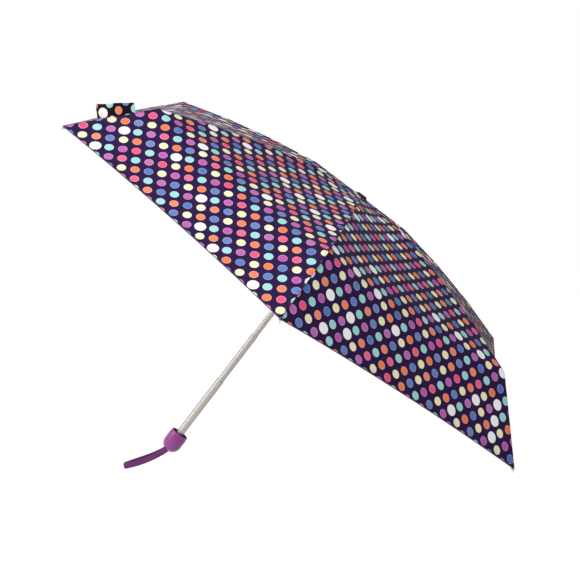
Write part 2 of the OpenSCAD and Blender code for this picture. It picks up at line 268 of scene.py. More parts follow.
def effect(name, build, outputs, inputs):
    """A shader node group. build returns the values that its output sockets give."""
    group = bpy.data.node_groups.new(name, "ShaderNodeTree")
    for key in inputs:
        kind = "NodeSocketVector" if key == "Vector" else "NodeSocketFloat"
        group.interface.new_socket(key, in_out="INPUT", socket_type=kind)
    for key in outputs:
        group.interface.new_socket(key, in_out="OUTPUT", socket_type="NodeSocketFloat")
    tree = Tree(group)
    given = tree.add("NodeGroupInput").outputs
    made = build(tree, given)
    end = tree.add("NodeGroupOutput")
    for key in outputs:
        tree.feed(end.inputs[key], made[key])
    return group


def build_print(t, given):
    x, y, _ = t.parts(given["Vector"])
    across = t.math("DIVIDE", x, t.times(given["Column"], 2))
    along = t.math("DIVIDE", y, t.times(given["Row"], 2))
    first = t.math("ROUND", t.math("ADD", across, along))
    second = t.math("ROUND", t.math("SUBTRACT", across, along))
    centre = t.vector(t.times(t.math("ADD", first, second), given["Column"]),
                      t.times(t.math("SUBTRACT", first, second), given["Row"]))
    away = t.add("ShaderNodeVectorMath", {0: t.vector(x, y), 1: centre},
                 operation="DISTANCE").outputs["Value"]

    def random(seed):
        cell = t.vector(first, second, seed)
        return t.add("ShaderNodeTexWhiteNoise", {"Vector": cell}, noise_dimensions="3D").outputs[0]

    block_cell = t.vector(t.math("FLOOR", t.math("DIVIDE", first, 8.0)),
                          t.math("FLOOR", t.math("DIVIDE", second, 5.0)))
    block = t.add("ShaderNodeTexWhiteNoise", {"Vector": block_cell},
                  noise_dimensions="3D").outputs[0]
    turn = t.times(t.math("GREATER_THAN", block, 0.5), 3.0)
    count = t.math("ADD", turn, t.math("MULTIPLY_ADD", first, 4.0, second))
    order = t.math("FLOORED_MODULO", count, 6.0)
    white = t.times(t.math("LESS_THAN", order, 0.5),
                   t.math("LESS_THAN", random(7.0), given["White share"]))
    radius = t.math("ADD", given["Dot"], t.times(white,
                    t.math("SUBTRACT", given["White dot"], given["Dot"])))
    edge = t.math("SUBTRACT", radius, away)
    dot = t.smooth(edge, -0.0002, 0.0002)
    rim = t.times(dot, t.smooth(edge, 0.0003, 0.0008, 1.0, 0.0))
    pick = t.math("DIVIDE", t.math("ADD", order, 0.5), 6.0)
    return {"Dot": dot, "White": white, "Rim": rim, "Pick": pick, "Tint": random(3.0)}


def build_weave(t, given):
    x, y, _ = t.parts(given["Vector"])
    turn = t.math("DIVIDE", math.tau, given["Pitch"])
    warp = t.math("SINE", t.times(x, turn))
    weft = t.math("SINE", t.times(y, turn))
    cross = t.math("MULTIPLY_ADD", t.times(warp, weft), 0.5, 0.5)
    slub = t.noise(given["Vector"], 900.0, 2.0)
    height = t.math("MULTIPLY_ADD", slub, 0.5, t.times(cross, 0.6))
    return {"Height": height, "Shade": t.math("MULTIPLY_ADD", cross, 0.12, 0.94)}


def build_puckers(t, given):
    """Short gathers that die away from a seam."""
    turn = t.math("DIVIDE", math.tau, given["Pitch"])
    wave = t.math("SINE", t.times(given["Along"], turn))
    uneven = t.noise(t.vector(given["Along"], 0.0), 60.0, 2.0)
    fade = t.math("POWER", 2.718, t.math("DIVIDE", t.times(given["Across"], -1.0), given["Reach"]))
    return {"Height": t.times(t.times(wave, fade), uneven)}


def build_stitches(t, given):
    """A running line of thread at a distance from an edge."""
    offset = t.math("ABSOLUTE", t.math("SUBTRACT", given["Across"], given["Line"]))
    line = t.smooth(offset, 0.00012, 0.0004, 1.0, 0.0)
    turn = t.math("DIVIDE", math.tau, given["Pitch"])
    beat = t.math("SINE", t.times(given["Along"], turn))
    return {"Thread": t.times(line, t.smooth(beat, -0.7, -0.2))}


def build_surface(t, given):
    """Handling marks and fine grain for plastic and metal."""
    cloud = t.noise(given["Vector"], given["Cloud scale"], 4.0, 0.6)
    grain = t.noise(given["Vector"], given["Grain scale"], 2.0, 0.7)
    scuff = t.smooth(t.noise(given["Vector"], given["Scuff scale"], 6.0, 0.75), 0.57, 0.72)
    return {"Cloud": cloud, "Grain": grain, "Scuff": scuff}


def build_draw_lines(t, given):
    """Fine lines along the shaft that drawing leaves on a tube."""
    x, y, z = t.parts(given["Vector"])
    turn = t.math("ARCTAN2", y, x)
    spread = t.vector(t.times(turn, 9.0), t.times(z, 6.0))
    lines = t.noise(spread, 14.0, 4.0, 0.7)
    rings = t.noise(t.vector(t.times(z, 900.0), 0.0), 1.0, 3.0, 0.7)
    return {"Lines": lines, "Rings": rings}


EFFECTS = {}
# Each effect's node group, what builds it, what it gives and the inputs it takes.
EFFECT_GROUPS = {
    "print": ("scattered dots", build_print, ("Dot", "White", "Rim", "Pick", "Tint"),
              ("Vector", "Column", "Row", "Dot", "White dot", "White share")),
    "weave": ("plain weave", build_weave, ("Height", "Shade"), ("Vector", "Pitch")),
    "puckers": ("seam puckers", build_puckers, ("Height",), ("Across", "Along", "Pitch", "Reach")),
    "stitches": ("thread stitches", build_stitches, ("Thread",),
                 ("Across", "Along", "Line", "Pitch")),
    "surface": ("handling marks", build_surface, ("Cloud", "Grain", "Scuff"),
                ("Vector", "Cloud scale", "Grain scale", "Scuff scale")),
    "draw": ("draw lines", build_draw_lines, ("Lines", "Rings"), ("Vector",)),
}


def make_effects():
    for key, (name, build, outputs, inputs) in EFFECT_GROUPS.items():
        EFFECTS[key] = effect(name, build, outputs, inputs)


def material(name, **shader):
    """A material with its own Principled BSDF, whose plain values are set on its sockets."""
    made = bpy.data.materials.new(name)
    made.use_nodes = True
    tree = Tree(made.node_tree)
    bsdf = made.node_tree.nodes["Principled BSDF"]
    for key, value in shader.items():
        tree.feed(bsdf.inputs[key.replace("_", " ")], value)
    return made, tree, bsdf


def dotted(name, ground, faded=0.0, **shader):
    """Printed polyester. It reads the piece's Cloth map in metres and its Edge map."""
    p = bpy.context.scene.umbrella_print
    made, t, bsdf = material(name, **shader)
    cloth = t.uv("Cloth")
    edge = t.parts(t.uv("Edge"))
    dots = t.group(EFFECTS["print"], Vector=cloth, Column=p.column, Row=p.row, Dot=p.dot,
                   White_dot=p.white_dot, White_share=p.white_share)
    weave = t.group(EFFECTS["weave"], Vector=cloth, Pitch=0.0007)
    ramp = t.add("ShaderNodeValToRGB", {"Fac": dots["Pick"]})
    ramp.color_ramp.interpolation = "CONSTANT"
    shades = (p.pink, p.cream, p.lilac, p.blue, p.aqua, p.orange)
    stops = ramp.color_ramp.elements
    while len(stops) < len(shades):
        stops.new(0.5)
    for i, shade in enumerate(shades):
        stops[i].position = i / len(shades)
        stops[i].color = (*shade, 1)
    tone = t.mix(t.times(dots["Tint"], 0.1), ramp.outputs[0], (0.9, 0.86, 0.9))
    tone = t.mix(t.times(dots["Rim"], 0.35), tone, (0.93, 0.9, 0.93))
    tone = t.mix(dots["White"], tone, (0.93, 0.92, 0.94))
    cloud = t.noise(cloth, 14.0, 4.0)
    base = t.mix(t.times(cloud, 0.45), ground, scaled(ground, 1.6, 0.002))
    printed = t.mix(dots["Dot"], base, tone)
    if faded:
        printed = t.mix(faded, printed, scaled(ground, 2.2, 0.03))
    stitches = t.group(EFFECTS["stitches"], Across=edge[0], Along=edge[1], Line=0.0028,
                       Pitch=0.0032)
    hem = t.group(EFFECTS["stitches"], Across=edge[1], Along=t.parts(cloth)[0], Line=0.0052,
                  Pitch=0.0032)
    seam = t.smooth(edge[0], 0.0003, 0.0011, 0.55, 0.0)
    printed = t.mix(seam, printed, scaled(ground, 0.4))
    thread = t.math("MAXIMUM", stitches["Thread"], hem["Thread"])
    printed = t.mix(t.times(thread, 0.8), printed, tuple(p.thread))
    shaded = t.add("ShaderNodeMix", data_type="RGBA", blend_type="MULTIPLY")
    shaded.inputs[0].default_value = 1.0
    t.feed(shaded.inputs[6], printed)
    t.feed(shaded.inputs[7], weave["Shade"])
    t.feed(bsdf.inputs["Base Color"], shaded.outputs[2])
    t.feed(bsdf.inputs["Roughness"], t.math("MULTIPLY_ADD", cloud, 0.12, 0.5))
    puckers = t.group(EFFECTS["puckers"], Across=edge[0], Along=edge[1], Pitch=0.0095, Reach=0.009)
    normal = t.bump(weave["Height"], 0.0001, 0.5)
    normal = t.bump(puckers["Height"], 0.0012, 0.8, normal)
    raised = t.math("MULTIPLY_ADD", thread, 1.0, t.times(seam, 1.6))
    t.feed(bsdf.inputs["Normal"], t.bump(raised, 0.00035, 0.8, normal))
    return made


def plastic(name, base, grain, wear, **shader):
    """Moulded plastic with a fine grain, handling marks and worn places."""
    made, t, bsdf = material(name, **shader)
    marks = t.group(EFFECTS["surface"], Vector=t.object_coords(), Cloud_scale=60.0,
                    Grain_scale=900.0, Scuff_scale=140.0)
    worn = tuple(min(1, c) for c in scaled(base, 1.5, 0.06))
    tone = t.mix(t.times(marks["Cloud"], 0.35), tuple(base), scaled(base, 1.35, 0.004))
    tone = t.mix(t.times(marks["Scuff"], wear), tone, worn)
    t.feed(bsdf.inputs["Base Color"], tone)
    rough = shader.get("Roughness", 0.4)
    t.feed(bsdf.inputs["Roughness"], t.math("MULTIPLY_ADD", marks["Scuff"], 0.18,
           t.math("MULTIPLY_ADD", marks["Cloud"], 0.12, rough - 0.05)))
    t.feed(bsdf.inputs["Normal"], t.bump(marks["Grain"], grain, 0.5))
    return made


def metal(name, base, rough, lined):
    """Plated or drawn metal, with drawing lines where it is a tube."""
    made, t, bsdf = material(name, Metallic=1.0, Specular_Tint=(0.3, 0.29, 0.28))
    here = t.object_coords()
    marks = t.group(EFFECTS["surface"], Vector=here, Cloud_scale=40.0, Grain_scale=1600.0,
                    Scuff_scale=90.0)
    tone = t.mix(t.times(marks["Cloud"], 0.4), tuple(base), scaled(base, 0.82))
    tone = t.mix(t.times(marks["Scuff"], 0.3), tone, scaled(base, 0.62))
    value = t.math("MULTIPLY_ADD", marks["Cloud"], 0.14, rough)
    height = marks["Grain"]
    if lined:
        drawn = t.group(EFFECTS["draw"], Vector=here)
        tone = t.mix(t.times(drawn["Rings"], 0.25), tone, scaled(base, 0.7))
        value = t.math("MULTIPLY_ADD", drawn["Lines"], 0.16, value)
        height = t.math("MULTIPLY_ADD", drawn["Lines"], 2.0, height)
    t.feed(bsdf.inputs["Base Color"], tone)
    t.feed(bsdf.inputs["Roughness"], value)
    t.feed(bsdf.inputs["Normal"], t.bump(height, 0.00004, 0.3))
    return made


def ribbon_cloth(name, base):
    """Woven ribbon with lengthwise streaks, darker along both edges."""
    made, t, bsdf = material(name, Sheen_Weight=0.04, Specular_IOR_Level=0.2)
    cloth = t.uv("Cloth")
    x, y, _ = t.parts(cloth)
    edge = t.parts(t.uv("Edge"))[0]
    stretched = t.vector(t.times(x, 1900.0), t.times(y, 22.0))
    streaks = t.noise(stretched, 1.0, 3.0, 0.6)
    weave = t.group(EFFECTS["weave"], Vector=cloth, Pitch=0.0008)
    tone = t.mix(t.smooth(streaks, 0.42, 0.72), scaled(base, 0.7), scaled(base, 1.7, 0.03))
    # Makes the ribbon darker along both edges, down to about a third of its colour.
    darkened_edges = t.smooth(edge, 0.0003, 0.0008, 0.75, 0.0)
    tone = t.mix(darkened_edges, tone, scaled(base, 0.35))
    stitch = t.group(EFFECTS["stitches"], Across=edge, Along=y, Line=0.0013, Pitch=0.0022)
    tone = t.mix(t.times(stitch["Thread"], 0.45), tone, scaled(base, 0.5))
    t.feed(bsdf.inputs["Base Color"], tone)
    t.feed(bsdf.inputs["Roughness"], t.math("MULTIPLY_ADD", streaks, 0.2, 0.38))
    ribs = t.math("MULTIPLY_ADD", weave["Height"], 0.7, t.times(streaks, 0.8))
    t.feed(bsdf.inputs["Normal"], t.bump(ribs, 0.0003, 0.7))
    return made


# ---- Mesh tools ----


def deselect():
    bpy.ops.object.select_all(action="DESELECT")


def activate(*pieces):
    """Selects only these pieces and makes the first one active."""
    deselect()
    for piece in pieces:
        piece.select_set(True)
    bpy.context.view_layer.objects.active = pieces[0]


def link(item):
    bpy.context.scene.collection.objects.link(item)


def settle(piece):
    """Puts a piece's place into its mesh."""
    activate(piece)
    bpy.ops.object.transform_apply(location=True, rotation=True, scale=True)
    return piece


def smooth_shade(piece, degrees):
    activate(piece)
    bpy.ops.object.shade_smooth_by_angle(angle=math.radians(degrees))


def dress(piece, finish):
    """Gives a piece one finish in place of what its maker left."""
    piece.data.materials.clear()
    piece.data.materials.append(finish)


def apply_modifier(piece, kind, **settings):
    activate(piece)
    modifier = piece.modifiers.new(kind.title(), kind)
    for key, value in settings.items():
        setattr(modifier, key, value)
    bpy.ops.object.modifier_apply(modifier=modifier.name)


def turned(name, profile, sides=96):
    """A round piece: a filled circle whose edge is drawn along a profile of (radius, height)."""
    deselect()
    r, z = profile[0]
    bpy.ops.mesh.primitive_circle_add(vertices=sides, radius=r, fill_type="NGON",
                                      location=(0, 0, z))
    piece = bpy.context.object
    piece.name = name
    bpy.ops.object.mode_set(mode="EDIT")
    bpy.ops.mesh.select_all(action="SELECT")
    bpy.ops.mesh.region_to_loop()
    for r_next, z_next in profile[1:]:
        bpy.ops.mesh.extrude_edges_move(TRANSFORM_OT_translate={"value": (0, 0, z_next - z)})
        bpy.ops.transform.resize(value=(r_next / r, r_next / r, 1), center_override=(0, 0, z_next))
        r, z = r_next, z_next
    bpy.ops.mesh.edge_face_add()
    bpy.ops.mesh.select_all(action="SELECT")
    bpy.ops.mesh.normals_make_consistent(inside=False)
    bpy.ops.object.mode_set(mode="OBJECT")
    return settle(piece)


def mesh_piece(name, points, faces, cloth, edge, materials, slots=None, normals=None):
    """A fabric piece from mesh code. cloth and edge hold a pair of metres for each face corner."""
    mesh = bpy.data.meshes.new(name)
    mesh.from_pydata(points, [], faces)
    for key, values in (("Cloth", cloth), ("Edge", edge)):
        layer = mesh.uv_layers.new(name=key)
        layer.data.foreach_set("uv", [c for pair in values for c in pair])
    piece = bpy.data.objects.new(name, mesh)
    link(piece)
    for finish in materials:
        mesh.materials.append(finish)
    if slots:
        mesh.polygons.foreach_set("material_index", slots)
    mesh.polygons.foreach_set("use_smooth", [True] * len(mesh.polygons))
    if normals:
        mesh.normals_split_custom_set(normals)
    mesh.update()
    return piece


def grid_piece(name, points, width, maps, finish, outward=True, closed=False):
    """A fabric piece from rows of points. maps(row, column) gives the Cloth and Edge pairs."""
    rows = len(points) // width
    faces, cloth, edge = [], [], []
    for i in range(rows if closed else rows - 1):
        for j in range(width - 1):
            ring = [(i, j), (i, j + 1), (i + 1, j + 1), (i + 1, j)]
            if not outward:
                ring = ring[:1] + ring[:0:-1]
            faces.append([a % rows * width + b for a, b in ring])
            for a, b in ring:
                cloth_at, edge_at = maps(a, b)
                cloth.append(cloth_at)
                edge.append(edge_at)
    return mesh_piece(name, points, faces, cloth, edge, [finish])


def paint(node, finish):
    """Gives a CAD node a finish in every slot."""
    data = NODES[node].data
    if not data.materials:
        data.materials.append(finish)
    for i in range(len(data.materials)):
        data.materials[i] = finish


def names(stem, count, tail=""):
    return [f"{stem}{i}{tail}" for i in range(1, count + 1)]


# ---- Canopy surface ----


def azimuth(rib):
    """The direction of a rib, with rib 1 towards -Y."""
    return math.radians(-90) + (rib - 1) * GORE_SPAN


def radial(a):
    return Vector((math.cos(a), math.sin(a), 0))


class Curve:
    """A polyline of (radius, height) read by its share of the length."""

    def __init__(self, points):
        self.points = points
        self.at = [0.0]
        for p, q in zip(points, points[1:]):
            self.at.append(self.at[-1] + (q - p).length)
        self.length = self.at[-1]
        self.shares = [s / self.length for s in self.at]

    def point(self, u):
        u = min(max(u, 0.0), 1.0)
        i = 0
        while i < len(self.points) - 2 and self.shares[i + 1] < u:
            i += 1
        low, high = self.shares[i], self.shares[i + 1]
        return self.points[i].lerp(self.points[i + 1], (u - low) / (high - low))


def cad_ridge():
    """The middle of the canopy solid over rib 1, from the top hole to the tip."""
    over = sorted((Vector((-v.co.y, v.co.z)) for v in NODES["canopy"].data.vertices
                   if abs(v.co.x) < 1e-5 and v.co.y < 0), key=lambda p: (round(p.x, 3), p.y))
    kept = []
    for p in over:
        if not any((p - q).length < 1e-5 for q in kept):
            kept.append(p)
    rows = []
    for p in kept:
        near = [r for r in rows if (r[0] - p).length < 2 * MM]
        if near:
            near[0].append(p)
        else:
            rows.append([p])
    return Curve([sum(r, Vector((0, 0))) / len(r) for r in rows])


class Canopy:
    """The stretched surface: crisp over each rib and rounded between the ribs."""
    SAMPLES = 9
    STEPS = 600
    MIDDLE_STEPS = 240

    def __init__(self, sizes):
        self.s = sizes
        self.ridge = cad_ridge()
        self.last_bend = self.ridge.shares[-2]
        self.rounded = [self.soft(i / self.STEPS) for i in range(self.STEPS + 1)]
        # Distances down the middle of a gore.
        self.middle, before = [0.0], self.place(1, 0.5, 0.0)
        for i in range(1, self.MIDDLE_STEPS + 1):
            here = self.place(1, 0.5, i / self.MIDDLE_STEPS)
            self.middle.append(self.middle[-1] + (here - before).length)
            before = here

    def soft(self, u):
        """The ridge's profile with its bends rounded."""
        reach = min(self.s.softness, u, 1 - u)
        total, weight = Vector((0, 0)), 0.0
        for i in range(self.SAMPLES):
            x = (i + 0.5) / self.SAMPLES * 2 - 1
            w = 1 - abs(x)
            total += self.ridge.point(u + x * reach) * w
            weight += w
        return total / weight

    def place(self, rib, t, u):
        """A point at share t of the way to the next rib, or to the last one when t is negative."""
        s = abs(t)
        middle = 4 * s * (1 - s)
        ramp = max(0.0, (u - self.last_bend) / (1 - self.last_bend)) ** 2
        u = min(max(u - self.s.hem_bow / self.ridge.length * middle * ramp, 0.0), 1.0)
        i = min(int(u * self.STEPS), self.STEPS - 1)
        soft = self.rounded[i].lerp(self.rounded[i + 1], u * self.STEPS - i)
        p = self.ridge.point(u).lerp(soft, middle)
        a = azimuth(rib)
        b = a + math.copysign(GORE_SPAN, t)
        spot = radial(a).lerp(radial(b), s) * p.x + UP * p.y
        inward = (radial(a) + radial(b)).normalized() * -0.35 - UP
        sag = self.s.sag * middle * math.sin(math.pi * u) ** 0.8
        return spot + inward * sag

    def normal(self, rib, t, u, side):
        step = 0.004
        t0, t1 = (t, t + step) if side > 0 else (t - step, t)
        across = self.place(rib, nudge(t1, side), u) - self.place(rib, nudge(t0, side), u)
        t = nudge(t, side)
        down = self.place(rib, t, min(1, u + step)) - self.place(rib, t, max(0, u - step))
        n = down.cross(across)
        n.normalize()
        return n if n.z > 0 or n.dot(radial(azimuth(rib))) > 0.5 else -n

    def relief(self, rib, t, u):
        """Height of the puckers beside a seam and of the slow waves of a gore."""
        d = abs(t) * self.ridge.point(u).x
        y = u * self.ridge.length
        gather = math.exp(-d / 0.012) * (1 - math.exp(-d / 0.002))
        wave = math.sin(math.tau * y / self.s.pucker_pitch + rib * 1.7 + (2.1 if t < 0 else 0))
        fall = min(1.0, y / 0.08) * min(1.0, (1 - u) * 12)
        middle = 4 * abs(t) * (1 - abs(t))
        slow = noise.noise(self.place(rib, nudge(t, 1), u) * 14) * 1.1 * MM * middle
        return (self.s.pucker * wave * gather + slow) * fall

    def cloth(self, rib, t, u):
        """The gore's own flat map in metres, each gore in a part of its own."""
        gore = rib if t > 0 else (rib - 2) % RIBS + 1
        s = t if t > 0 else 1 + t
        position = u * (len(self.middle) - 1)
        i = min(int(position), len(self.middle) - 2)
        along = self.middle[i] + (self.middle[i + 1] - self.middle[i]) * (position - i)
        x = (s - 0.5) * self.ridge.point(u).x
        repeat = 2 * self.s.id_data.umbrella_print.column
        return (x + 0.0045 + gore * 40 * repeat, self.middle[-1] - along - 0.0085)

    def edge(self, t, u):
        """Distance from the seam and from the hem."""
        return (abs(t) * self.ridge.point(u).x, (1 - u) * self.ridge.length)


def half_columns(side):
    """Shares of the way from a rib to the middle of a gore, in the order of rising angle."""
    return [-t for t in reversed(HALF)] if side < 0 else list(HALF)


def nudge(t, side):
    """Keeps a point on a rib on its own side of the seam."""
    return t or side * 1e-9


def strip_piece(canopy, rib, side, zone, strip, finishes):
    """A strip of half a gore beside one rib section, with an outer and an inner face."""
    s = canopy.s
    columns = half_columns(side)
    start, end = canopy.ridge.shares[zone - 1], canopy.ridge.shares[zone]
    low = start + (end - start) * strip / STRIPS[zone - 1]
    high = start + (end - start) * (strip + 1) / STRIPS[zone - 1]
    count = max(3, round((high - low) * canopy.ridge.length / ROW_STEP))
    rows = [low + (high - low) * i / count for i in range(count + 1)]
    width, deep = len(columns), len(rows)
    outer, inner, shade = [], [], {}
    for j, u in enumerate(rows):
        for i, t in enumerate(columns):
            spot = canopy.place(rib, nudge(t, side), u)
            n = shade[i, j] = canopy.normal(rib, t, u, side)
            if not t:
                n = (n + canopy.normal(rib, t, u, -side)).normalized()
            rise = canopy.relief(rib, t, u)
            outer.append(spot + n * (rise + s.thickness / 2))
            inner.append(spot + n * (rise - s.thickness / 2))
    faces, cloth, edge, normals, slots = [], [], [], [], []

    def face(ring, layers, slot, sign):
        faces.append([layer * width * deep + j * width + i for layer, (i, j) in zip(layers, ring)])
        slots.append(slot)
        for i, j in ring:
            cloth.append(canopy.cloth(rib, nudge(columns[i], side), rows[j]))
            edge.append(canopy.edge(columns[i], rows[j]))
            normals.append(tuple(shade[i, j] * sign))

    for under in (0, 1):
        for j in range(deep - 1):
            for i in range(width - 1):
                ring = [(i, j), (i, j + 1), (i + 1, j + 1), (i + 1, j)]
                face(ring[::-1] if under else ring, (under,) * 4, under, -1 if under else 1)
    rim = [(i, 0) for i in range(width)]
    rim += [(width - 1, j) for j in range(1, deep)]
    rim += [(i, deep - 1) for i in range(width - 2, -1, -1)]
    rim += [(0, j) for j in range(deep - 2, 0, -1)]
    for here, after in zip(rim, rim[1:] + rim[:1]):
        face((here, after, after, here), (0, 0, 1, 1), 0, 0)
    name = f"canopy_rib_{rib}_{SIDE_NAMES[side]}_{zone}_{strip + 1}"
    piece = mesh_piece(name, outer + inner, faces, cloth, edge, finishes, slots, normals)
    near, far = canopy.ridge.point(low).x / 2, canopy.ridge.point(high).x / 2
    return piece, (low + high) / 2


def fold_with_rib(canopy, piece, rib, zone, u, node):
    """Carries a soft piece on a rib section and hides the CAD node that it replaces."""
    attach(piece, f"rib_{rib}_section_{zone}")
    at = canopy.ridge.point(u)
    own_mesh(piece)
    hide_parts(node)


def hem_piece(canopy, rib, side, finish):
    """The turned hem: a strip that wraps the edge and is sewn down underneath."""
    s = canopy.s
    columns = half_columns(side)
    half = s.thickness / 2
    # Places of the strip's points outwards from the edge and above the fabric's middle.
    section = [(-0.9 * MM, half + 0.1 * MM), (-0.1 * MM, half + 0.12 * MM), (0.3 * MM, half * 0.6),
               (0.42 * MM, -half), (0.2 * MM, -half - 0.5 * MM), (-0.3 * MM, -half - 0.62 * MM),
               (-s.hem_width * 0.5, -half - 0.4 * MM), (-s.hem_width, -half - 0.3 * MM)]
    points = []
    for t in columns:
        spot = canopy.place(rib, nudge(t, side), 1.0)
        out = (spot - canopy.place(rib, nudge(t, side), 0.985)).normalized()
        n = canopy.normal(rib, t, 0.995, side)
        if not t:
            n = (n + canopy.normal(rib, t, 0.995, -side)).normalized()
        for along, lift in section:
            points.append(spot + out * along + n * lift)

    def maps(a, b):
        x, y = canopy.cloth(rib, nudge(columns[a], side), 1.0)
        return (x, y + section[b][0]), (NO_SEAM, b * 1.2 * MM)

    piece = grid_piece(f"hem_rib_{rib}_{SIDE_NAMES[side]}", points, len(section), maps, finish)
    apply_modifier(piece, "SOLIDIFY", thickness=0.2 * MM, offset=-1)
    return piece


# ---- Operators ----


class UMBRELLA_OT_canopy(bpy.types.Operator):
    """Make the canopy of six printed gores, with its hem, sewn to the ribs"""
    bl_idname = "umbrella.canopy"
    bl_label = "Canopy"

    def execute(self, context):
        sizes, p = context.scene.umbrella_canopy, context.scene.umbrella_print
        canopy = Canopy(sizes)
        outside = dotted("printed polyester", tuple(p.ground), Specular_IOR_Level=0.12)
        inside = dotted("printed polyester, inside", tuple(p.ground), 0.5, Sheen_Weight=0.1)
        hem_cloth = dotted("hem polyester", scaled(p.ground, 0.6), 0.85, Sheen_Weight=0.1)
        for rib in range(1, RIBS + 1):
            for side in SIDE_NAMES:
                hem = hem_piece(canopy, rib, side, hem_cloth)
                fold_with_rib(canopy, hem, rib, SECTIONS, 1.0, "canopy")
                places = [(zone, strip) for zone in range(1, SECTIONS + 1)
                          for strip in range(STRIPS[zone - 1])]
                for zone, strip in places:
                    piece, u = strip_piece(canopy, rib, side, zone, strip, [outside, inside])
                    fold_with_rib(canopy, piece, rib, zone, u, "canopy")
        make_ties(canopy)
        return {"FINISHED"}


def make_ties(canopy):
    """Thread loops that sew the fabric to each rib section, a little past its middle."""
    finish, t, bsdf = material("sewing thread", Roughness=0.6)
    twist = t.noise(t.object_coords(), 2600.0, 2.0)
    thread = tuple(bpy.context.scene.umbrella_print.thread)
    t.feed(bsdf.inputs["Base Color"], t.mix(twist, scaled(thread, 0.5), scaled(thread, 1.8)))
    t.feed(bsdf.inputs["Normal"], t.bump(twist, 0.0002, 0.7))
    share_along, depth, step = 0.55, 2.1 * MM, 0.42 * MM
    deselect()
    bpy.ops.mesh.primitive_torus_add(major_segments=20, minor_segments=6, major_radius=2.35 * MM,
                                     minor_radius=0.2 * MM)
    pattern = bpy.context.object
    bpy.ops.object.mode_set(mode="EDIT")
    bpy.ops.mesh.select_all(action="SELECT")
    bpy.ops.transform.resize(value=(1.0, 0.86, 1.0), center_override=(0, 0, 0))
    bpy.ops.object.mode_set(mode="OBJECT")
    bpy.ops.object.shade_smooth()
    for rib in range(1, RIBS + 1):
        a = azimuth(rib)
        for zone in range(1, SECTIONS + 1):
            near, far = canopy.ridge.points[zone - 1], canopy.ridge.points[zone]
            along = (far - near).normalized()
            x = radial(a) * along.x + UP * along.y
            z = radial(a) * -along.y + UP * along.x
            y = z.cross(x)
            spot = near.lerp(far, share_along)
            centre = radial(a) * spot.x + UP * spot.y - z * depth
            turns = []
            for turn in range(3):
                mesh = pattern.data.copy()
                mesh.transform(Matrix.Translation(centre + x * (turn - 1) * step)
                               @ Matrix((z, y, x)).transposed().to_4x4())
                turns.append(bpy.data.objects.new(f"tie_rib_{rib}_{zone}_{turn}", mesh))
                link(turns[-1])
            activate(*turns)
            bpy.ops.object.join()
            tie = turns[0]
            tie.name = f"tie_rib_{rib}_zone_{zone}"
            dress(tie, finish)
            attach(tie, f"rib_{rib}_section_{zone}")
    bpy.data.objects.remove(pattern, do_unlink=True)


class UMBRELLA_OT_cap(bpy.types.Operator):
    """Make the fabric-covered cap on top of the canopy"""
    bl_idname = "umbrella.cap"
    bl_label = "Cap"

    def execute(self, context):
        low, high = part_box("notch_cap")
        r, top = high[0], high[2]
        base = top - 4 * MM
        dome = [(r * math.cos(a), base + 0.7 * MM + 3.3 * MM * math.sin(a))
                for a in (math.radians(8 * i) for i in range(11))]
        under = [(1.9 * MM, low[2]), (2 * MM, base - 0.6 * MM), (r * 0.8, base - 0.25 * MM),
                 (r * 0.97, base)]
        piece = turned("cap_cover", under + dome + [(0.5 * MM, top)], 72)
        for v in piece.data.vertices:
            a = math.atan2(v.co.y, v.co.x)
            reach = math.hypot(v.co.x, v.co.y) / r
            v.co.z += 0.16 * MM * math.sin(12 * a) * reach ** 3 * (1.2 - reach)
        p = context.scene.umbrella_print
        cloth = piece.data.uv_layers.new(name="Cloth")
        edge = piece.data.uv_layers.new(name="Edge")
        for loop in piece.data.loops:
            co = piece.data.vertices[loop.vertex_index].co
            cloth.data[loop.index].uv = (co.x + 13.2 * MM, co.y + 11.7 * MM)
            edge.data[loop.index].uv = (NO_SEAM, max(0.0, r - math.hypot(co.x, co.y)) * 3)
        dress(piece, dotted("cap fabric", tuple(p.ground), Specular_IOR_Level=0.12))
        smooth_shade(piece, 50)
        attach(piece, "hub")
        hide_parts("notch_cap")
        return {"FINISHED"}


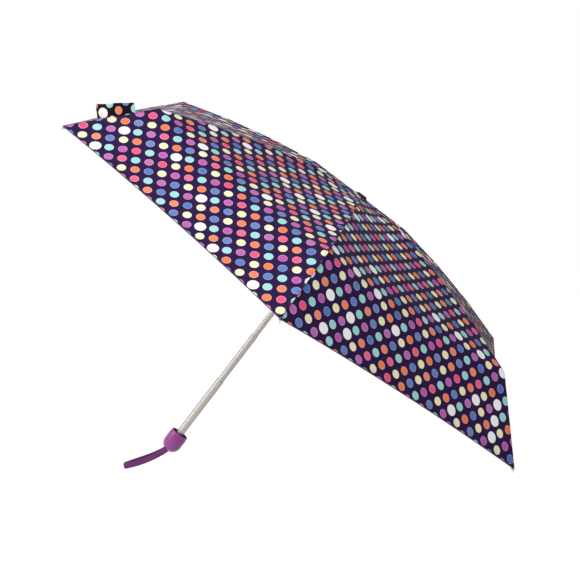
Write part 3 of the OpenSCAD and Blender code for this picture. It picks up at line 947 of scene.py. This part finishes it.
class UMBRELLA_OT_closing_band(bpy.types.Operator):
    """Make the folded fabric band that stands on the gore facing -X"""
    bl_idname = "umbrella.closing_band"
    bl_label = "Closing band"

    def execute(self, context):
        canopy, p = Canopy(context.scene.umbrella_canopy), context.scene.umbrella_print
        s = context.scene.umbrella_band
        tall, gap, long, inset, corner = s.tall, s.gap, s.long, s.inset, s.corner
        rib, steps = 6, 48
        heights = (-0.05, 0.1, 0.25, 0.4, 0.55, 0.7, 0.82, 0.9, 0.955)
        across = [(-gap, h) for h in heights]
        across += [(-gap * 0.7, 0.985), (0.0, 1.0), (gap * 0.7, 0.985)]
        across += [(gap, h) for h in reversed(heights)]
        end = canopy.place(rib, -0.5, 1.0)
        inner = canopy.place(rib, -0.5, 1.0 - long / canopy.ridge.length)
        rise = (inner - end).cross(Vector((0, 1, 0))).normalized()
        rise = rise if rise.z > 0 else -rise
        points, places = [], []
        for i in range(steps + 1):
            share_along = 0.5 - 0.5 * math.cos(math.pi * i / steps)
            a = inset + share_along * long
            foot = canopy.place(rib, -0.5, 1.0 - a / canopy.ridge.length)
            from_end = min(share_along, 1 - share_along) * long
            top = tall * (1.02 - 0.26 * share_along)
            if from_end < corner:
                top -= corner - math.sqrt(max(0.0, corner ** 2 - (corner - from_end) ** 2))
            lift = 0.4 * MM * math.sin(a * 160) + 0.5 * MM
            for y, h in across:
                sway = 1.3 * MM * math.sin(a * 95 + 0.6) * max(0.0, h) ** 1.5
                spread = 1.0 + 0.35 * math.sin(a * 140) * (1 - abs(2 * h - 1))
                points.append(foot + rise * (h * top + lift) + Vector((0, y * spread + sway, 0)))
                places.append((a, (h * top) if y <= 0 else 0.1 + 2 * tall - h * top))

        def maps(b, c):
            x, y = places[b * len(across) + c]
            edge = (x - inset, 6 * MM + abs(across[c][1]) * tall)
            return (x + 15.8 * MM, y + 5.1 * MM), edge

        finish = dotted("band fabric", tuple(p.band_ground), Specular_IOR_Level=0.15)
        piece = grid_piece("closing_band_cloth", points, len(across), maps, finish, outward=False)
        apply_modifier(piece, "SOLIDIFY", thickness=0.4 * MM, offset=0)
        apply_modifier(piece, "SUBSURF", levels=1, render_levels=1)
        middle = 1 - (inset + long / 2) / canopy.ridge.length
        fold_with_rib(canopy, piece, rib, SECTIONS, middle, "closing_band")
        return {"FINISHED"}


class UMBRELLA_OT_handle(bpy.types.Operator):
    """Make the cup-shaped handle with its rolled rim and strap slot"""
    bl_idname = "umbrella.handle"
    bl_label = "Handle"

    def execute(self, context):
        s = context.scene.umbrella_handle
        low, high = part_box("handle_cup")
        r, rim, half = high[0], high[2], s.grip / 2
        slot_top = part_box("strap_pin")[1][2] + 3.4 * MM
        floor, bowl, lip = 0.0, s.bowl_r, s.rim_r
        hollow = [(3 * MM, floor), (bowl - 1.2 * MM, floor), (bowl - 0.35 * MM, floor + 0.4 * MM),
                  (bowl, floor + 1.3 * MM), (bowl, rim - 0.9 * MM),
                  (bowl + 0.15 * MM, rim - 0.3 * MM), (bowl + 0.5 * MM, rim)]
        wall = [(lip - 0.45 * MM, rim), (lip - 0.05 * MM, rim - 0.25 * MM),
                (lip + 0.05 * MM, rim - 0.8 * MM), (lip + 0.02 * MM, rim - 1.2 * MM),
                (r - 0.06 * MM, half + 0.3 * MM), (r, half - 0.3 * MM), (r, 0), (r, -half)]
        base = [(r * math.cos(a), -half - r * math.sin(a))
                for a in (math.radians(5 * i) for i in range(1, 18))]
        cup = turned("cup", hollow + wall + base)
        deselect()
        bpy.ops.mesh.primitive_cube_add(size=1)
        cutter = bpy.context.object
        deep = rim - low[2]
        cutter.dimensions = (r + s.slot_reach + deep, 2 * s.slot_half, slot_top - low[2] + deep)
        cutter.location = ((s.slot_reach - r - deep) / 2, 0, (slot_top + low[2] - deep) / 2)
        settle(cutter)
        apply_modifier(cup, "BOOLEAN", object=cutter, operation="DIFFERENCE", solver="EXACT")
        apply_modifier(cup, "BEVEL", width=0.25 * MM, segments=2, limit_method="ANGLE",
                       angle_limit=math.radians(50))
        bpy.data.objects.remove(cutter, do_unlink=True)
        dress(cup, plastic("purple moulding", s.body, 0.00008, 0.35, Roughness=0.3,
                           Coat_Weight=0.25, Coat_Roughness=0.2))
        smooth_shade(cup, 40)
        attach(cup, "handle")
        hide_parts("handle_cup")
        paint("strap_pin", metal("plated pin", context.scene.umbrella_metal.rib, 0.25, False))
        return {"FINISHED"}


class UMBRELLA_OT_wrist_strap(bpy.types.Operator):
    """Make the doubled ribbon of the wrist strap"""
    bl_idname = "umbrella.wrist_strap"
    bl_label = "Wrist strap"

    def execute(self, context):
        s = context.scene.umbrella_handle
        pin_low, pin_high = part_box("strap_pin")
        pin_z = (pin_low[2] + pin_high[2]) / 2
        arc = s.ribbon_length / (s.end_lean - s.start_lean)
        half_gap, bend_from, bend = 1.55 * MM, 0.985, 0.015
        centre = Vector((-arc * math.cos(s.start_lean), 0, arc * math.sin(s.start_lean) + pin_z))
        path, steps = [], 44

        def on_arc(share_along):
            a = s.start_lean + (s.end_lean - s.start_lean) * share_along
            out = Vector((math.cos(a), 0, -math.sin(a)))
            return centre + out * arc, out

        def bow(x):
            return 0.55 + 0.45 * math.sin(math.pi * min(1, x * 1.05)) if x > 0.04 else 0.75

        for i in range(steps + 1):
            x = i / steps
            spot, out = on_arc(x * bend_from)
            path.append((spot + Vector((0, -half_gap * bow(x), 0)), out, x * s.ribbon_length))
        for i in range(1, 8):
            turn = math.pi * i / 8
            spot, out = on_arc(bend_from + bend * math.sin(turn))
            path.append((spot + Vector((0, -half_gap * 0.62 * math.cos(turn), 0)), out,
                         s.ribbon_length + i * 0.5 * MM))
        for i in range(steps, -1, -1):
            x = i / steps
            spot, out = on_arc(x * bend_from)
            drift = 2.3 * MM * math.sin(math.pi * min(1, x * 0.93) ** 1.5)
            path.append((spot - out * drift + Vector((0, half_gap * bow(x), 0)), out,
                         (2 - x) * s.ribbon_length + 4 * MM))
        for i in range(1, 8):
            turn = math.pi * i / 8
            spot, out = on_arc(-0.03 * math.sin(turn))
            path.append((spot + Vector((0, half_gap * 0.75 * math.cos(turn), 0)), out,
                         2 * s.ribbon_length + (4 + i * 0.5) * MM))
        across = [-0.5, -0.46, -0.3, -0.1, 0.1, 0.3, 0.46, 0.5]
        points = []
        for spot, out, run in path:
            from_end = abs(run - s.ribbon_length - 2 * MM)
            narrow = 1 - 0.22 * math.exp(-(from_end / (2.2 * MM)) ** 2)
            for w in across:
                w = w * narrow
                crown = 0.12 * MM * (1 - 4 * w * w)
                side = math.copysign(1, spot.y)
                points.append(spot + out * w * s.ribbon_width + Vector((0, side * crown, 0)))

        def maps(a, b):
            run = path[a][2] if a < len(path) else 2 * s.ribbon_length + 8 * MM
            from_edge = (0.5 - abs(across[b])) * s.ribbon_width
            return (across[b] * s.ribbon_width, run), (from_edge, run)

        finish = ribbon_cloth("purple ribbon", s.ribbon)
        piece = grid_piece("strap_ribbon", points, len(across), maps, finish, closed=True)
        apply_modifier(piece, "SOLIDIFY", thickness=s.ribbon_thick, offset=0)
        apply_modifier(piece, "BEVEL", width=0.18 * MM, segments=2, limit_method="ANGLE",
                       angle_limit=math.radians(60))
        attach(piece, "wrist_strap")
        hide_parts("wrist_strap")
        return {"FINISHED"}


class UMBRELLA_OT_shaft(bpy.types.Operator):
    """Finish the five telescoping tubes"""
    bl_idname = "umbrella.shaft"
    bl_label = "Shaft"

    def execute(self, context):
        tube = metal("satin drawn tube", context.scene.umbrella_metal.tube, 0.26, True)
        for node in names("tube_", 5):
            paint(node, tube)
        return {"FINISHED"}


class UMBRELLA_OT_hub_and_runner(bpy.types.Operator):
    """Finish the notch, the runner and its release button"""
    bl_idname = "umbrella.hub_and_runner"
    bl_label = "Hub and runner"

    def execute(self, context):
        m = context.scene.umbrella_metal
        nylon = plastic("black nylon", m.black, 0.0001, 0.5, Roughness=0.45)
        for node in ("notch", "runner"):
            paint(node, nylon)
        paint("runner_button", plastic("grey moulding", m.grey, 0.00008, 0.4, Roughness=0.4))
        pins = metal("steel wire", m.rib, 0.22, False)
        for node in ("notch_pins", "runner_pins"):
            paint(node, pins)
        return {"FINISHED"}


class UMBRELLA_OT_ribs(bpy.types.Operator):
    """Finish the rib sections, stretchers and tips"""
    bl_idname = "umbrella.ribs"
    bl_label = "Ribs"

    def execute(self, context):
        m = context.scene.umbrella_metal
        steel = metal("plated channel", m.rib, 0.24, False)
        tip = plastic("tip moulding", m.tip, 0.00006, 0.3, Roughness=0.35)
        for rib in range(1, RIBS + 1):
            for node in names(f"rib_{rib}_section_", SECTIONS) + [f"stretcher_{rib}"]:
                paint(node, steel)
            paint(f"rib_{rib}_tip", tip)
        return {"FINISHED"}


class UMBRELLA_OT_stage(bpy.types.Operator):
    """Set up the camera, the lights, the pale surroundings and the floor"""
    bl_idname = "umbrella.stage"
    bl_label = "Stage"

    def execute(self, context):
        s = context.scene.umbrella_stage
        away = Vector((math.sin(s.azimuth) * math.cos(s.elevation),
                       -math.cos(s.azimuth) * math.cos(s.elevation), math.sin(s.elevation)))
        aim = Vector((s.aim_side * math.cos(s.azimuth), s.aim_side * math.sin(s.azimuth),
                      s.aim_height))
        right = (-away).cross(UP).normalized()
        up = right.cross(-away)
        turned_right = right * math.cos(s.roll) + up * math.sin(s.roll)
        turned_up = up * math.cos(s.roll) - right * math.sin(s.roll)
        data = bpy.data.cameras.new("camera")
        data.lens, data.sensor_width = s.lens, 36
        camera = bpy.data.objects.new("camera", data)
        camera.matrix_world = Matrix.Translation(aim + away * s.distance) \
            @ Matrix((turned_right, turned_up, away)).transposed().to_4x4()
        link(camera)
        context.scene.camera = camera
        world = bpy.data.worlds.new("studio")
        context.scene.world = world
        world.use_nodes = True
        sky = Tree(world.node_tree)
        seen = sky.add("ShaderNodeLightPath").outputs["Is Camera Ray"]
        background = world.node_tree.nodes["Background"]
        background.inputs[0].default_value = (1, 1, 1, 1)
        direction = sky.add("ShaderNodeTexCoord").outputs["Generated"]
        heading = sky.add("ShaderNodeVectorMath", {0: direction, 1: tuple(turned_right)},
                          operation="DOT_PRODUCT")
        ambient = sky.smooth(heading.outputs["Value"], -0.8, 0.8, 1.7 * s.ambient, 0.6 * s.ambient)
        unseen = sky.math("MULTIPLY", ambient, sky.math("SUBTRACT", 1.0, seen))
        sky.feed(background.inputs[1], sky.math("ADD", seen, unseen))
        for name, (place, power, size) in LAMPS.items():
            light = bpy.data.lights.new(name, "AREA")
            light.energy, light.size, light.shape = power, size, "DISK"
            lamp = bpy.data.objects.new(name, light)
            offset = turned_right * place[0] + turned_up * place[1] + away * place[2]
            lamp.location = LIT_CENTRE + offset
            lamp.rotation_euler = (-offset).to_track_quat("-Z", "Y").to_euler()
            link(lamp)
        deselect()
        bpy.ops.mesh.primitive_grid_add(x_subdivisions=8, y_subdivisions=8, size=60,
                                        location=(0, 0, s.floor))
        floor = settle(bpy.context.object)
        floor.name = "floor"
        finish, t, bsdf = material("pale floor", Roughness=0.9, Specular_IOR_Level=0.1,
                                   Emission_Color=(1, 1, 1), Emission_Strength=0.62)
        t.feed(bsdf.inputs["Base Color"], t.mix(t.noise(t.object_coords(), 3.0), (0.95, 0.95, 0.95),
                                                (0.97, 0.97, 0.97)))
        floor.data.materials.append(finish)
        context.scene.view_settings.view_transform = "Standard"
        return {"FINISHED"}


# ---- Panel and start ----

GROUPS = {
    "umbrella_canopy": UmbrellaCanopySizes,
    "umbrella_band": UmbrellaBandSizes,
    "umbrella_print": UmbrellaPrint,
    "umbrella_handle": UmbrellaHandle,
    "umbrella_metal": UmbrellaMetal,
    "umbrella_stage": UmbrellaStage,
}
OPERATORS = (UMBRELLA_OT_stage, UMBRELLA_OT_canopy, UMBRELLA_OT_cap, UMBRELLA_OT_closing_band,
             UMBRELLA_OT_handle, UMBRELLA_OT_wrist_strap, UMBRELLA_OT_shaft,
             UMBRELLA_OT_hub_and_runner, UMBRELLA_OT_ribs)


class UMBRELLA_PT_panel(bpy.types.Panel):
    """Sizes, colours and the pieces of the umbrella"""
    bl_idname = "UMBRELLA_PT_panel"
    bl_label = "Folding Umbrella"
    bl_space_type = "VIEW_3D"
    bl_region_type = "UI"
    bl_category = "Umbrella"

    def draw(self, context):
        for operator in OPERATORS:
            self.layout.operator(operator.bl_idname)
        for key, group in GROUPS.items():
            box = self.layout.box()
            box.label(text=group.__name__)
            for value in group.__annotations__:
                box.prop(getattr(context.scene, key), value)


def register():
    for group in GROUPS.values():
        bpy.utils.register_class(group)
    for operator in OPERATORS:
        bpy.utils.register_class(operator)
    bpy.utils.register_class(UMBRELLA_PT_panel)
    for key, group in GROUPS.items():
        setattr(bpy.types.Scene, key, PointerProperty(type=group))


def unregister():
    for key in GROUPS:
        delattr(bpy.types.Scene, key)
    bpy.utils.unregister_class(UMBRELLA_PT_panel)
    for group in (*OPERATORS, *GROUPS.values()):
        bpy.utils.unregister_class(group)


def main():
    register()
    make_effects()
    for operator in OPERATORS:
        group, name = operator.bl_idname.split(".")
        getattr(getattr(bpy.ops, group), name)()


if __name__ == "__main__":
    main()
